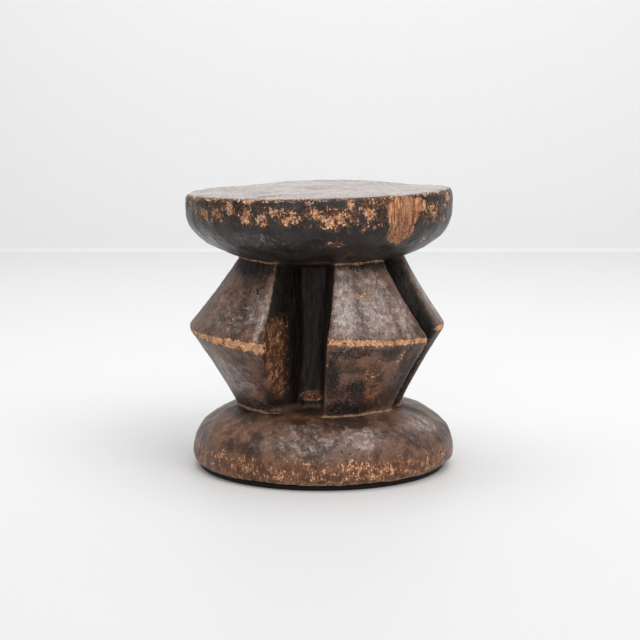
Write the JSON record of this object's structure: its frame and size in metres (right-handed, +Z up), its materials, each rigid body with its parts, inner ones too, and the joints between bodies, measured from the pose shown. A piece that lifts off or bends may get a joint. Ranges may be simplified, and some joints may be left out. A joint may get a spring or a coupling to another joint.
{
  "type": "dogon stool",
  "caption": "Low round stool carved from one block: bowl-bottomed round seat and domed base joined by wedge-shaped supports with a ridge at half height.",
  "frame": {"origin": "centre of the underside, on the surface that the stool stands on", "axes": "+Z up; -Y towards the side that the picture shows, +X to the right of that side"},
  "size_m": [0.3034, 0.3008, 0.316],
  "materials": {
    "dark_wood": "smoke-dark oiled hardwood, worn through to orange-brown on rim, ridges and foot",
    "black_felt": "dense black felt"
  },
  "bodies": {
    "root": {"stool_body": "dark_wood", "floor_pad": "black_felt"}
  },
  "joints": []
}
